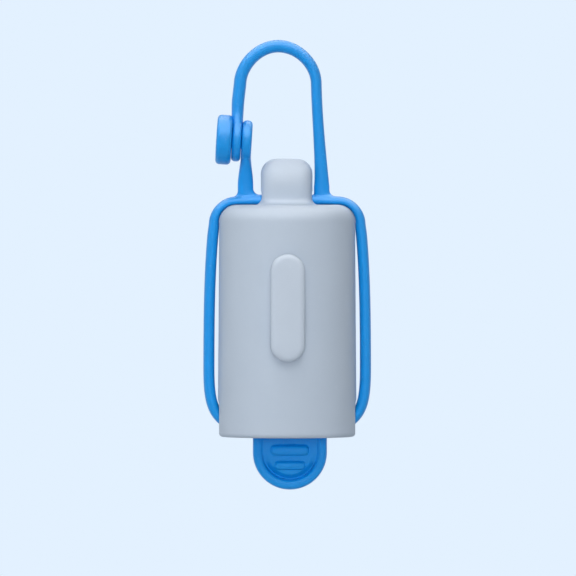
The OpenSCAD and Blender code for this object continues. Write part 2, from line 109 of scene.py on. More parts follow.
def shaped(mesh, kind, **settings):
    """What a modifier of a kind, with its settings, makes of a mesh."""
    holder = bpy.data.objects.new(mesh.name, mesh)
    bpy.context.scene.collection.objects.link(holder)
    modifier = holder.modifiers.new(kind, kind)
    for setting, value in settings.items():
        setattr(modifier, setting, value)
    made = bpy.data.meshes.new_from_object(
        holder.evaluated_get(bpy.context.evaluated_depsgraph_get()))
    bpy.data.objects.remove(holder)
    made.shade_smooth()
    return made


def without(mesh, *cutters):
    """The mesh with closed shells cut out of it."""
    for cutter in cutters:
        tool = bpy.data.objects.new("cutter", skin("cutter", cutter))
        bpy.context.scene.collection.objects.link(tool)
        mesh = shaped(mesh, "BOOLEAN", operation="DIFFERENCE", solver="EXACT", object=tool)
        bpy.data.objects.remove(tool)
    return mesh


def points_of(mesh):
    """The mesh's points as an array of the shape (points, 3)."""
    points = np.empty(3 * len(mesh.vertices))
    mesh.vertices.foreach_get("co", points)
    return points.reshape(-1, 3)


def rounded_off(mesh, grain, passes, hold=0.9):
    """The mesh as one soft moulding: filled with voxels of the size grain and given a new skin.
    Each pass draws every point halfway to the middle of its neighbours, and then a share hold
    of that way back, so that edges and corners round off while the walls keep their thickness."""
    made = shaped(mesh, "REMESH", mode="VOXEL", voxel_size=grain, adaptivity=0)
    ends = np.empty(2 * len(made.edges), int)
    made.edges.foreach_get("vertices", ends)
    one, other = ends.reshape(-1, 2).T
    near, far = np.r_[one, other], np.r_[other, one]
    points = points_of(made)
    count = np.bincount(near, minlength=len(points))[:, None]
    for step in [0.5, -0.5 * hold] * passes:
        middle = np.stack(
            [np.bincount(near, axis[far], len(points)) for axis in points.T], axis=1) / count
        points += step * (middle - points)
    made.vertices.foreach_set("co", points.ravel())
    made.update()
    return made


def arc(centre, radius, start, end, count=10):
    """Points on an arc, whose angles are in degrees, as an array of the shape (count, 2)."""
    angle = np.radians(np.linspace(start, end, count))[:, None]
    return np.array(centre) + radius * np.hstack([np.cos(angle), np.sin(angle)])


def superellipse(half_width, half_depth, square, sides):
    """The points of a superellipse, as an array of the shape (sides, 2): the halves times the
    cosine and the sine of the angle, both raised to the power of 2 / square with their signs
    kept. The halves may be columns, which gives one superellipse for each row."""
    angle = 2 * np.pi * (np.arange(sides) + 0.5) / sides
    across, back = np.cos(angle), np.sin(angle)
    return np.stack([half_width * np.sign(across) * abs(across) ** (2 / square),
                     half_depth * np.sign(back) * abs(back) ** (2 / square)], axis=-1)


def stacked(middle, half_width, half_depth, height, square, sides=72):
    """A shell of level superellipses, one at each height, whose middles lie on the XZ plane."""
    outline = superellipse(half_width[:, None], half_depth[:, None], square, sides)
    x = outline[..., 0] + np.broadcast_to(middle, len(height))[:, None]
    return shell(np.stack([x, outline[..., 1], height[:, None] + 0 * x], axis=-1))


class Wire:
    """An output of a shader node. Arithmetic on it adds Math nodes to the same graph."""

    def __init__(self, graph, socket):
        self.graph, self.socket = graph, socket

    def maths(self, operation, *values):
        return self.graph.node("Math", {"operation": operation}, dict(enumerate(values)))

    def __add__(self, other):
        return self.maths("ADD", self, other)

    def __mul__(self, other):
        return self.maths("MULTIPLY", self, other)

    def __gt__(self, other):
        return self.maths("GREATER_THAN", self, other)

    __radd__ = __add__
    __rmul__ = __mul__


class Graph:
    """The shader nodes of a material or of the world."""

    def __init__(self, owner):
        owner.use_nodes = True
        self.tree = owner.node_tree

    def node(self, kind, settings=None, inputs=None, output=0):
        """Adds a shader node of a type, with its settings and the values or wires of its inputs."""
        made = self.tree.nodes.new("ShaderNode" + kind)
        for setting, value in (settings or {}).items():
            setattr(made, setting, value)
        for socket, value in (inputs or {}).items():
            if isinstance(value, Wire):
                self.tree.links.new(value.socket, made.inputs[socket])
            else:
                made.inputs[socket].default_value = value
        return Wire(self, made.outputs[output])


class Finish(Graph):
    """A material with one Principled shader, which reads the places of the piece's points."""

    def __init__(self, name, **constants):
        self.material = bpy.data.materials.new(name)
        super().__init__(self.material)
        self.shader = self.tree.nodes["Principled BSDF"]
        for socket, value in constants.items():
            self.shader.inputs[socket.replace("_", " ")].default_value = value
        self.place = self.node("TexCoord", output="Object")

    def noise(self, size, detail=2.0):
        """Cloudy noise from 0 to 1, whose clouds are about size across, in metres."""
        return self.node("TexNoise", {}, {"Vector": self.place, "Scale": 1 / size, "Detail": detail})

    def colours(self, share, first, second):
        """The first colour where share is 0 and the second one where it is 1."""
        return self.node("Mix", {"data_type": "RGBA"}, {0: share, 6: first, 7: second}, output=2)

    def feed(self, **wires):
        """Leads wires to the shader's inputs."""
        for socket, wire in wires.items():
            self.tree.links.new(wire.socket, self.shader.inputs[socket.replace("_", " ")])

    def relief(self, height, depth):
        """Raises the surface by a height from 0 to 1, of which 1 stands depth metres out."""
        self.feed(Normal=self.node("Bump", {}, {"Strength": 1.0, "Distance": depth, "Height": height}))


def srgb(red, green, blue):
    """A colour given as it looks on a screen, from 0 to 255, as Blender's linear one."""
    share = np.array([red, green, blue]) / 255
    linear = np.where(share <= 0.04045, share / 12.92, ((share + 0.055) / 1.055) ** 2.4)
    return (*linear.tolist(), 1.0)


def silicone(name, colour, deep, rough):
    """Soft-touch silicone: a matt skin of fine grain, cloudy in its tone towards a deeper one,
    with faint paler specks of dust and a roughness that varies a little."""
    grain_size, cloud_size, dust_size, grain_depth = 0.00022, 0.009, 0.0007, 0.000018
    dust_from, dust_share, paler = 0.72, 0.12, 0.25
    finish = Finish(name, IOR=1.42)
    grain = finish.noise(grain_size, detail=3.0)
    clouds = finish.noise(cloud_size, detail=3.0)
    dust = finish.noise(dust_size, detail=1.0)
    tone = finish.colours(clouds * 0.7 + grain * 0.3, colour, deep)
    pale = tuple((1 - paler) * part + paler for part in colour[:3]) + (1.0,)
    finish.feed(Base_Color=finish.colours((dust > dust_from) * dust_share, tone, pale),
                Roughness=rough + 0.08 * clouds + 0.05 * grain)
    finish.relief(grain, grain_depth)
    return finish


def made_piece(name, mesh, finish):
    """A piece at the origin with its shape in its mesh."""
    mesh.materials.clear()
    mesh.materials.append(finish.material)
    piece = bpy.data.objects.new(name, mesh)
    bpy.context.scene.collection.objects.link(piece)
    return piece


sleeve_low, sleeve_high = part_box("housing")
base = sleeve_low.z
sleeve_h = sleeve_high.z - base
top_z = sleeve_high.z
foot_r, taper = sleeve_high.x, 0.0005
crown_r = foot_r - taper
wall, roof = 0.002, 0.0022
crown_round, bay_round, rim_round, lip_round = 0.005, 0.0025, 0.0012, 0.0005
notch_half_w, notch_h = 0.00335, 0.0105
film_low, film_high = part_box("leading_bag")
film_y, film_z = (film_low.y + film_high.y) / 2, (film_low.z + film_high.z) / 2
slot_w, slot_len = 0.0025, 0.034
cut_reach, cut_past = 1.2 * foot_r, 0.002


def wall_r(height):
    """The sleeve's outer radius at a height over its bottom edge: it narrows evenly upwards."""
    return foot_r + (crown_r - foot_r) * height / sleeve_h


def sleeve_profile():
    """From the middle of the top over the crown, down the wall, round the rim and up inside."""
    crown_low = sleeve_h - crown_round
    bay_low = sleeve_h - roof - bay_round
    lines = [[(0, sleeve_h)],
             arc((wall_r(crown_low) - crown_round, crown_low), crown_round, 90, 0, 16),
             arc((wall_r(0) - rim_round, rim_round), rim_round, 0, -90, 8),
             arc((wall_r(0) - wall + lip_round, lip_round), lip_round, 270, 180, 5),
             arc((wall_r(bay_low) - wall - bay_round, bay_low), bay_round, 0, 90, 10),
             [(0, sleeve_h - roof)]]
    return np.vstack(lines) + (0, base)


def drawn_to(points, profile, limit):
    """Takes the points that lie close to a turned profile onto it, and leaves those alone that
    lie further off than the limit, with a smooth change between."""
    steps = np.linspace(0, 1, 40)[:, None]
    line = np.vstack([a + (b - a) * steps for a, b in zip(profile[:-1], profile[1:])])
    radius = np.hypot(points[:, 0], points[:, 1])
    flat = np.stack([radius, points[:, 2]], axis=1)
    near = np.vstack([line[np.argmin(((part[:, None] - line) ** 2).sum(-1), axis=1)]
                      for part in np.array_split(flat, len(flat) // 1000 + 1)])
    off = np.linalg.norm(near - flat, axis=1) / limit
    share = np.clip(2 - 2 * off, 0, 1)
    flat += (near - flat) * (share * share * (3 - 2 * share))[:, None]
    points[:, :2] *= (flat[:, 0] / np.maximum(radius, 1e-9))[:, None]
    points[:, 2] = flat[:, 1]
    return points


def notch_cutter():
    """An arched prism that runs through both sides of the sleeve."""
    outline = np.vstack([[(-notch_half_w, -cut_past), (notch_half_w, -cut_past)],
                         arc((0, notch_h - notch_half_w), notch_half_w, 0, 180, 24)])
    return prism(outline + (0, base), -cut_reach, cut_reach)


def slot_cutter():
    """An upright round-ended prism that runs from the sleeve's middle out to its right."""
    straight = (slot_len - slot_w) / 2
    outline = np.vstack([arc((film_y, film_z + straight), slot_w / 2, 0, 180, 12),
                         arc((film_y, film_z - straight), slot_w / 2, 180, 360, 12)])
    return prism(outline, 0, cut_reach)


def channel_cutter(front, back, height):
    """A square prism through the lug, from under the sleeve's top to a height over it."""
    low, high = top_z - cut_past, top_z + height
    outline = np.array([(front, low), (back, low), (back, high), (front, high)])
    return prism(outline, -cut_reach, cut_reach)


lug_x, lug_w, lug_depth, lug_h = -0.00015, 0.0152, 0.014, 0.0135
lug_corner, lug_arch, lug_fillet, lug_root = 0.0045, 0.009, 0.0014, 0.001
lug_square, side_flare, crown_share = 3.2, 0.65, 0.12
channel_w, channel_h, throat_h = 0.0052, 0.0034, 0.0022


def lug_shell():
    """A superellipse at each height. Its width slopes in over the foot, stands straight and
    turns over a round corner, and its depth does the same over a longer, elliptical arch."""
    foot = np.linspace(0, lug_fillet, 12)
    crown = lug_h - lug_arch * (1 - np.sin(np.linspace(0, np.pi / 2, 30)))
    height = np.concatenate([[-lug_root], foot, crown])
    flare = (lug_fillet - height).clip(0, lug_fillet)
    corner = np.clip((height - lug_h + lug_corner) / lug_corner, 0, 1)
    arch = np.clip((height - lug_h + lug_arch) / lug_arch, 0, 1)
    half_width = lug_w / 2 + side_flare * flare - lug_corner * (1 - np.sqrt(1 - corner ** 2))
    left = crown_share + (1 - crown_share) * np.sqrt(1 - arch ** 2)
    return stacked(lug_x, half_width, flare + lug_depth / 2 * left, top_z + height, lug_square)


sleeve_grain, sleeve_passes, sleeve_snap = 0.00052, 5, 0.00015
grey_silicone = silicone("soft_grey_silicone", srgb(181, 193, 207), srgb(175, 188, 203), 0.48)
sleeve = without(skin("sleeve", turned(sleeve_profile(), 256)), notch_cutter(), slot_cutter())
lug = without(skin("lug", lug_shell()), channel_cutter(-channel_w / 2, channel_w / 2, channel_h),
              channel_cutter(0, foot_r, throat_h))
sleeve = rounded_off(joined("sleeve", sleeve, lug), sleeve_grain, sleeve_passes)
sleeve_points = drawn_to(points_of(sleeve), sleeve_profile(), sleeve_snap)
sleeve.vertices.foreach_set("co", sleeve_points.ravel())
sleeve = made_piece("sleeve_with_lug", sleeve, grey_silicone)
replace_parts(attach(sleeve, "housing"), "housing", "hang_lug")


# Cleat
# The pill-shaped head on the front that a used bag's knot hooks behind. It stands on a
# narrower neck and is moulded with the sleeve, of the same grey silicone. Its colour is
# painted a little paler than the sleeve's: painted light on the head's lit face.

cleat_low, cleat_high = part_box("front_cleat")
cleat_w, cleat_len, cleat_t = cleat_high.x - cleat_low.x, cleat_high.z - cleat_low.z, 0.0022
cleat_x, cleat_z = (cleat_low.x + cleat_high.x) / 2, (cleat_low.z + cleat_high.z) / 2
face_swell, face_middle, face_insets = 0.00012, 0.0005, (0.0036, 0.0025)
edge_inset, edge_drop, back_round = 0.0019, 0.0014, 0.0007
neck_w, neck_len, neck_start, neck_end = 0.005, 0.024, 0.0014, 0.0058
head_flare, wall_flare, flare_reach, wall_at = 0.0009, 0.0011, 0.0005, 0.0042


def pill_shell(inset, y, width, length, sides=96):
    """Rings that are stadiums in the XZ plane, circles whose halves are drawn apart upwards and
    downwards: inset says how far each one lies inside the widest one and y how far back."""
    angle = 2 * np.pi * np.arange(sides) / sides
    radius = (width / 2 - inset)[:, None]
    straight = (length - width) / 2
    x = cleat_x + radius * np.cos(angle)
    z = cleat_z + radius * np.sin(angle) + straight * np.sign(np.sin(angle))
    return shell(np.stack([x, y[:, None] + 0 * x, z], axis=-1))


def cleat_head():
    """A stadium whose front edge is a long soft round and whose back edge is a short one, with
    a face that swells a little towards its middle."""
    turn = np.linspace(0, np.pi / 2, 10)
    face = np.array([cleat_w / 2 - face_middle, *face_insets])
    face_y = -face_swell * np.array([1, 3 / 4, 5 / 12])
    front, front_y = edge_inset * (1 - np.sin(turn)), edge_drop * (1 - np.cos(turn))
    back, back_y = back_round * (1 - np.cos(turn)), cleat_t - back_round * (1 - np.sin(turn))
    inset = np.concatenate([face, front, back, face[:1]])
    y = np.concatenate([face_y, front_y, back_y, [cleat_t]])
    return pill_shell(inset, cleat_low.y + face_swell + y, cleat_w, cleat_len)


def cleat_neck():
    """A stadium that flares into the head at its front end and into the sleeve at its back. Each
    flare falls off as e to the power of minus the square of the distance over its reach."""
    depth = np.linspace(neck_start, neck_end, 14)
    flare = head_flare * np.exp(-((depth - cleat_t) / flare_reach) ** 2)
    flare += wall_flare * np.exp(-((wall_at - depth).clip(0) / flare_reach) ** 2)
    return pill_shell(-flare, cleat_low.y + depth, neck_w, neck_len)


# The sleeve's grey made a little paler: painted light that stands in for the lit face of the head.
cleat_painted_light_silicone = silicone("grey_silicone_painted_lighter", srgb(188, 199, 212), srgb(182, 194, 208), 0.48)
cleat = made_piece("cleat", skin("cleat", cleat_head(), cleat_neck()), cleat_painted_light_silicone)
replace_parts(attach(cleat, "housing"), "front_cleat")


# Yoke
# The middle of the blue harness, which is one elastic silicone moulding. The bar lies across
# the sleeve's top, passes under the lug and turns down over both shoulders, and the feet of
# the hanging strap and of the button's post grow out of it.

band_depth, yoke_t, shoulder_t, rail_t, strap_t = 0.0046, 0.0031, 0.0025, 0.0033, 0.0032
band_gap, rail_gap, bow_gap, bow_z = -0.0001, 0.0003, 0.0011, 0.02
splay_angle, crown_dome, band_square = math.radians(4.5), 0.15, 2.1
splay = np.array([math.sin(splay_angle), -math.cos(splay_angle)])
crown_x, crown_z = crown_r - crown_round, sleeve_h - crown_round
shoulder_z = crown_z - crown_round
rail_x = wall_r(shoulder_z) + rail_gap + rail_t / 2
plug_r, plug_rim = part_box("bottom_plug")[1].x, 0.0015
rail_end = np.array([plug_r - plug_rim / 2, 0.0037])
rail_slant = np.array([-1, -0.7]) / math.hypot(1, 0.7)
yoke_top = sleeve_h + band_gap + yoke_t
foot_w, foot_depth, foot_rise, foot_root, edge_root = 0.0046, 0.0028, 0.0024, 0.0015, 0.0005
foot_fillet, sharp_fillet, foot_edge, band_root = 0.0018, 0.00002, 0.0003, 0.003
foot_top = yoke_top + foot_rise
strap_lug_gap, post_lug_gap = 0.0004, 0.0022
strap_foot_x = lug_x + lug_w / 2 + strap_lug_gap + foot_w / 2
post_foot_x = lug_x - lug_w / 2 - post_lug_gap - foot_w / 2
feet_cut = 0.078


def ease(share):
    """A change from 0 to 1 that sets out and arrives level: three times the square of share less
    twice its cube."""
    share = np.clip(share, 0, 1)
    return share * share * (3 - 2 * share)


def bezier(start, leave, arrive, end, count):
    """The points of a cubic Bezier curve, as an array of the shape (count, 2)."""
    t = np.linspace(0, 1, count)[:, None]
    s = 1 - t
    return (s ** 3 * np.array(start) + 3 * s * s * t * np.array(leave)
            + 3 * s * t * t * np.array(arrive) + t ** 3 * np.array(end))


def band(path, thick, deep, crown=0.0, square=band_square, sides=48):
    """A band along a path of X and of heights over the sleeve's bottom edge. At each point of
    the path stands a superellipse, thick across the path and deep from front to back, whose
    widest line lies inwards of the middle by the share crown of its thickness."""
    along = np.gradient(path, axis=0)
    along /= np.linalg.norm(along, axis=1)[:, None]
    thick, deep, crown = (np.broadcast_to(size, len(path))[:, None] for size in (thick, deep, crown))
    outline = superellipse(thick / 2, deep / 2, square, sides)
    across, back = outline[..., 0], outline[..., 1]
    across = across * (1 - 2 * crown * np.sign(across)) + crown * thick
    x = path[:, :1] + across * along[:, 1:]
    z = path[:, 1:] - across * along[:, :1]
    return shell(np.stack([x, back, z + base], axis=-1))


def yoke_thickness(x, z):
    """The yoke's thickness beside points of the sleeve's outline: it thins from the bar to the
    shoulders, and gets as thick as a rail on the way down from there."""
    over = yoke_t + (shoulder_t - yoke_t) * ease((x - crown_x / 2) / (crown_x / 2 + crown_round / 3))
    low = shoulder_z + crown_round / 4
    down = rail_t + (shoulder_t - rail_t) * ease((z - low) / (sleeve_h - low))
    return np.maximum(over, down)


def half_yoke():
    """The right half of the bar's middle line: level, then round the crown and down. Each row
    holds X, the height and the thickness."""
    x = np.linspace(0, crown_x, 16)[:-1]
    thick = yoke_thickness(x, sleeve_h)
    level = np.stack([x, sleeve_h + band_gap + thick / 2, thick], axis=1)
    share = np.linspace(0, 1, 24)
    over, up = crown_round * np.sin(share * np.pi / 2), crown_round * np.cos(share * np.pi / 2)
    thick = yoke_thickness(crown_x + over, crown_z + up)
    stretch = 1 + (band_gap + share * (rail_gap - band_gap) / 2 + thick / 2) / crown_round
    turn = np.stack([crown_x + stretch * over, crown_z + stretch * up, thick], axis=1)
    end, handle = turn[-1, :2], crown_round / 3
    down = bezier(end, end - (0, handle), (rail_x, shoulder_z) - handle * splay,
                  (rail_x, shoulder_z), 12)
    down = np.column_stack([down, yoke_thickness(*down.T)])
    return np.vstack([level, turn, down[1:]])


def half_rail():
    """The right rail's middle line: down from the shoulder, bowed out, then in to the plug.
    Each row holds X, the height and the thickness."""
    start = np.array([rail_x, shoulder_z])
    bow = np.array([wall_r(bow_z) + bow_gap + rail_t / 2, bow_z])
    fall, drop = start[1] - bow[1], bow[1] - rail_end[1]
    upper = bezier(start, start + fall / 4 * splay, bow + (0, fall / 2), bow, 40)
    lower = bezier(bow, bow - (0, drop * 5 / 8), rail_end - drop / 3 * rail_slant, rail_end, 40)
    line = np.vstack([upper, lower[1:]])
    return np.column_stack([line, np.full(len(line), rail_t)])


def bar_top(x):
    """The height of the yoke's top at a place beside the middle: level over the bar, and on a
    circle about the crown's centre over the shoulder."""
    level = sleeve_h + band_gap + yoke_thickness(x, sleeve_h)
    ring = (crown_round + band_gap + shoulder_t) ** 2 - max(x - crown_x, 0) ** 2
    return level if x < crown_x else crown_z + math.sqrt(ring)


def foot(x, left_fillet, right_fillet):
    """A foot that rises from inside the bar, with a fillet of its own radius on each side: a
    quarter circle that starts level with the bar's top."""
    left_low = bar_top(abs(x - foot_w / 2 - left_fillet))
    right_low = bar_top(abs(x + foot_w / 2 + right_fillet))
    height = np.linspace(sleeve_h + foot_root, foot_top + 0.0001, 30)

    def spread(radius, low):
        return radius - np.sqrt(radius ** 2 - (radius + low - height).clip(0, radius) ** 2)

    left = x - foot_w / 2 - spread(left_fillet, left_low)
    right = x + foot_w / 2 + spread(right_fillet, right_low)
    half_depth = foot_depth / 2 + spread(foot_edge, yoke_top - edge_root)
    return stacked((left + right) / 2, (right - left) / 2, half_depth, base + height, band_square)


leash_r = 0.004
bend_r, bend_x, bend_slack = 0.0112, -0.00265, 0.0002
bend_z = leash_r - base + strap_t / 2 - bend_r
strap_depth, eyelet_d, hole_r, shank_len, seam_shift = 0.0046, 0.0124, 0.0025, 0.0105, 0.0003
leg_t, shank_t, eyelet_t, eyelet_gap = 0.0037, 0.0034, 0.0027, 0.0001
button_rise, button_shift = 0.0188, 0.25
button_x, button_z = post_foot_x - button_shift * foot_w, sleeve_h + button_rise
lean = math.radians(3.5)
lean_up = np.array([math.sin(lean), math.cos(lean)])
lean_out = np.array([-math.cos(lean), math.sin(lean)])
pad_d, pad_t, pad_fill, pad_reach = 0.0122, 0.0030, 0.94, 0.76
eyelet_at = np.array([button_x, button_z]) + (eyelet_gap + eyelet_t / 2) * lean_out
seam = eyelet_at + shank_len * lean_up - (seam_shift, 0)


def strap_band():
    """The strap from its foot, over the bend and down to the eyelet, into which it widens. It
    is thickest at its foot, narrows along the way up as a sine does, is thicker again over the
    bend and on the way down, and thin in the eyelet."""
    middle, across, handle = np.array([bend_x, bend_z]), np.array([bend_r, 0]), 0.002
    top, wide, tight = middle + (0, bend_r - bend_slack), 0.52 * bend_r, 0.49 * bend_r
    start, rise = np.array([strap_foot_x, foot_top]), bend_z - foot_top
    right, left = middle + across, middle - across
    up = bezier(start, start + (0, rise / 5), right + (bend_slack, -rise / 3), right, 40)
    over = bezier(right, right + (-bend_slack / 2, wide), top + (wide, 0), top, 30)
    back = bezier(top, top - (wide, 0), left + (bend_slack, tight), left, 30)
    down = bezier(left, left - (bend_slack, handle), seam + handle * lean_up, seam, 12)
    into = eyelet_at + np.linspace(1, 0, 16)[:, None] * (seam - eyelet_at)
    line = np.vstack([start - (0, band_root), up, over[1:], back[1:], down[1:], into[1:]])
    share = np.linspace(0, 1, len(up))
    narrow = np.sin(np.pi / 2 * np.clip(1.25 * share, 0, 1)) ** 0.8
    tail = len(line) - 1 - len(up)
    rest = np.interp(np.linspace(0, 1, tail), (0, 0.3, 0.8, 0.9, 1),
                     (strap_t, leg_t, leg_t, shank_t, eyelet_t + 0.0002))
    shank = np.linspace((tail - 1) / (len(into) - 1), 0, tail).clip(0, 1)
    thick = np.concatenate([[foot_w], foot_w + (strap_t - foot_w) * narrow, rest])
    deep = np.concatenate([[foot_depth], foot_depth + (strap_depth - foot_depth) * share,
                           strap_depth + (eyelet_d - strap_depth) * np.cos(shank * np.pi / 2) ** 3])
    return band(line, thick, deep)


def post_band():
    """The post from its foot up into the pad behind the eyelet: it thins and widens upwards."""
    start = np.array([post_foot_x, foot_top])
    pad_at = np.array([button_x, button_z]) - pad_t / 2 * lean_out
    handle = (pad_at[1] - foot_top) / 3
    line = bezier(start, start + (0, handle), pad_at - handle * lean_up, pad_at, 30)
    share = np.linspace(0, 1, len(line))
    thick = foot_w + (pad_fill * pad_t - foot_w) * ease(1.3 * share)
    deep = foot_depth + (pad_reach * pad_d - foot_depth) * ease(share)
    return band(np.vstack([start - (0, band_root), line]), np.r_[foot_w, thick],
                np.r_[foot_depth, deep])


def on_button(profile, sides=96):
    """A shell turned about the button's axis, of radii and of distances out from the pad."""
    angle = 2 * np.pi * np.arange(sides) / sides
    up, back = profile[:, :1] * np.cos(angle), profile[:, :1] * np.sin(angle)
    x = button_x + up * lean_up[0] + profile[:, 1:] * lean_out[0]
    z = base + button_z + up * lean_up[1] + profile[:, 1:] * lean_out[1]
    return shell(np.stack([x, back, z], axis=-1))


def disc_profile(radius, low, high, edge, dome=0.0):
    """A disc between two distances out, with round edges and a face that swells by dome."""
    return np.vstack([[(0, low)], arc((radius - edge, low + edge), edge, -90, 0, 8),
                      arc((radius - edge, high - edge), edge, 0, 90, 8),
                      [(radius * 0.5, high + 0.7 * dome), (0, high + dome)]])


def kept(mesh, place, way):
    """The part of a mesh that lies beyond a place in one way. The cut is closed, and its edge is
    marked sharp, so that the sides stay smooth."""
    work = bmesh.new()
    work.from_mesh(mesh)
    bmesh.ops.bisect_plane(work, geom=work.verts[:] + work.edges[:] + work.faces[:],
                           plane_co=place, plane_no=way, clear_inner=True)
    rim = [edge for edge in work.edges if edge.is_boundary]
    for edge in rim:
        edge.smooth = False
    bmesh.ops.holes_fill(work, edges=rim, sides=0)
    part = bpy.data.meshes.new(mesh.name)
    work.to_mesh(part)
    work.free()
    return part


band_grain, band_passes = 0.0002, 8
blue_silicone = silicone("soft_blue_silicone", srgb(12, 146, 224), srgb(8, 137, 217), 0.3)
half = np.vstack([half_yoke(), half_rail()[1:]])
whole = np.vstack([(half * (-1, 1, 1))[:0:-1], half])
domed = crown_dome * ease((whole[:, 1] - shoulder_z) / (sleeve_h - shoulder_z))
harness = skin("harness", band(whole[:, :2], whole[:, 2], band_depth, domed),
               foot(post_foot_x, foot_fillet, foot_fillet),
               foot(strap_foot_x, sharp_fillet, foot_fillet), strap_band(), post_band())
harness = rounded_off(harness, band_grain, band_passes)
shoulder, feet_end = (0, 0, base + shoulder_z), (0, 0, base + feet_cut)
yoke = kept(kept(harness, shoulder, (0, 0, 1)), feet_end, (0, 0, -1))
yoke = made_piece("yoke_with_feet", yoke, blue_silicone)
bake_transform(yoke)
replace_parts(yoke, "yoke")


# Hanging strap
# It rises from its foot, goes over the leash and comes down to an eyelet whose hole is
# stretched over the button's head. Strap and eyelet are one stretch of the harness.

disc_edge = 0.4
eyelet = on_button(disc_profile(eyelet_d / 2, eyelet_gap, eyelet_gap + eyelet_t, disc_edge * eyelet_t))
hole = on_button(np.array([(0, -0.01), (hole_r, -0.01), (hole_r, 0.02), (0, 0.02)]))
strap = rounded_off(skin("strap", strap_band(), eyelet), band_grain, band_passes)
strap = without(kept(strap, feet_end, (0, 0, 1)), hole)
strap = made_piece("hanging_strap", strap, blue_silicone)
seam[0] + 0.0012
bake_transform(strap)
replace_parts(strap, "hang_strap", "strap_eyelet")


# Post and button
# The short post ends in a round pad, and the button's stem stands out of the pad, so that the
# eyelet lies between the pad and the thick round head. Both are moulded with the harness.

pad = on_button(disc_profile(pad_d / 2, -pad_t, 0, disc_edge * pad_t))
post = rounded_off(skin("post", post_band(), pad), band_grain, band_passes)
post = made_piece("button_post", kept(post, feet_end, (0, 0, 1)), blue_silicone)
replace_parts(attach(post, "strap"), "strap_post")

head_r, head_t, head_edge, head_dome = 0.0073, 0.0046, 0.0012, 0.0001
stem_r, stem_flare, stem_root = 0.0022, 0.0004, 0.0008
head_low = 2 * eyelet_gap + eyelet_t
stem = np.vstack([[(0, -stem_root), (stem_r + stem_flare, -stem_root), (stem_r + 0.0001, 0.0001)],
                  arc((stem_r + stem_flare, head_low - stem_flare), stem_flare, 180, 90, 6)])
head = disc_profile(head_r, head_low, head_low + head_t - head_dome, head_edge, head_dome)
button = skin("button", on_button(np.vstack([stem, head[1:]]), 128))
button = made_piece("button_head", button, blue_silicone)
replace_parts(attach(button, "strap"), "post_button")


# Side rails
# The two bands of the harness that hold the plug up: down both sides of the sleeve, bowed a
# little clear of it, and in through the notches. They stretch when the tab is pulled.

for side, name in [(1, "right_rail"), (-1, "left_rail")]:
    rail = kept(kept(harness, shoulder, (0, 0, -1)), (0, 0, 0), (side, 0, 0))
    rail = made_piece(name + "_band", rail, blue_silicone)
    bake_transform(rail)
    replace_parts(rail, name)


# Plug
# The dish at the harness's lower end, which closes the sleeve and carries the roll. It is
# moulded with the rails and the tab.

plug_low, plug_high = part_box("bottom_plug")
plug_floor, edge_round, rim_edge, inner_round = 0.0024, 0.0006, 0.0005, 0.0008
rim_in = plug_r - plug_rim
plug_profile = np.vstack([
    [(0, plug_low.z)], arc((plug_r - edge_round, plug_low.z + edge_round), edge_round, -90, 0, 8),
    arc((plug_r - rim_edge, plug_high.z - rim_edge), rim_edge, 0, 90, 7),
    arc((rim_in + rim_edge, plug_high.z - rim_edge), rim_edge, 90, 180, 7),
    arc((rim_in - inner_round, plug_low.z + plug_floor + inner_round), inner_round, 0, -90, 7),
    [(0, plug_low.z + plug_floor)]])
plug = made_piece("plug_dish", skin("plug", turned(plug_profile)), blue_silicone)
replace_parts(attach(plug, "plug"), "bottom_plug")


# Pull tab
# The tongue under the plug, moulded with it: a panel in a thick round rim, with two finger
# ridges on both faces and a groove where the panel meets the rim's round end.

tab_low, tab_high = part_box("pull_tab")
tab_x, tab_w = (tab_low.x + tab_high.x) / 2, tab_high.x - tab_low.x
tab_rim_w, tab_rim_t, tab_rim_square = 0.0029, 0.0042, 3.0
tab_panel_t, tab_panel_square = 0.0027, 8.0
tab_top, tab_side_top, tab_passes = 0.0018, 0.0012, 4
groove_r, groove_w, groove_t, groove_steep = 0.0077, 0.0014, 0.0001, 1.1
ridge_len, ridge_w, ridge_rise, ridge_square = 0.011, 0.0029, 0.0010, 3.0
ridge_rows = ((0.004, 1.0), (0.0085, 0.8))
tab_centre = tab_low.z + tab_w / 2 - base
tab_mid_r = (tab_w - tab_rim_w) / 2


def tab_line():
    """The rim's middle line: down the left side, round the half circle and up the right side."""
    round_part = arc((tab_x, tab_centre), tab_mid_r, 180, 360, 48)
    left, right = round_part[0, 0], round_part[-1, 0]
    return np.vstack([(left, tab_top), (left, tab_side_top), round_part,
                      (right, tab_side_top), (right, tab_top)])


def tab_panel():
    """Rings from the middle of one face out to the rim and back on the other face: circles below
    the middle and square superellipses above it. Each face sinks into the groove as a V does,
    by a share that eases in towards the lower end."""
    sides = 144
    out = np.linspace(0.02, 1, 60)[:, None] * tab_mid_r
    angle = 2 * np.pi * (np.arange(sides) + 0.5) / sides
    below = angle > np.pi
    x, z = superellipse(1, 1, tab_panel_square, sides).T
    x, z = np.where(below, np.cos(angle), x), np.where(below, np.sin(angle), z)
    tall = np.where(below, 1, (tab_top - tab_centre) / tab_mid_r)
    valley = (groove_steep - groove_steep * abs(out - groove_r) / groove_w).clip(0, 1)
    y = -tab_panel_t / 2 + (tab_panel_t - groove_t) / 2 * valley * ease(-1.25 * np.sin(angle))
    front = np.stack([tab_x + out * x, y, base + tab_centre + out * z * tall], axis=-1)
    return shell(np.concatenate([front, (front * (1, -1, 1))[::-1]]))


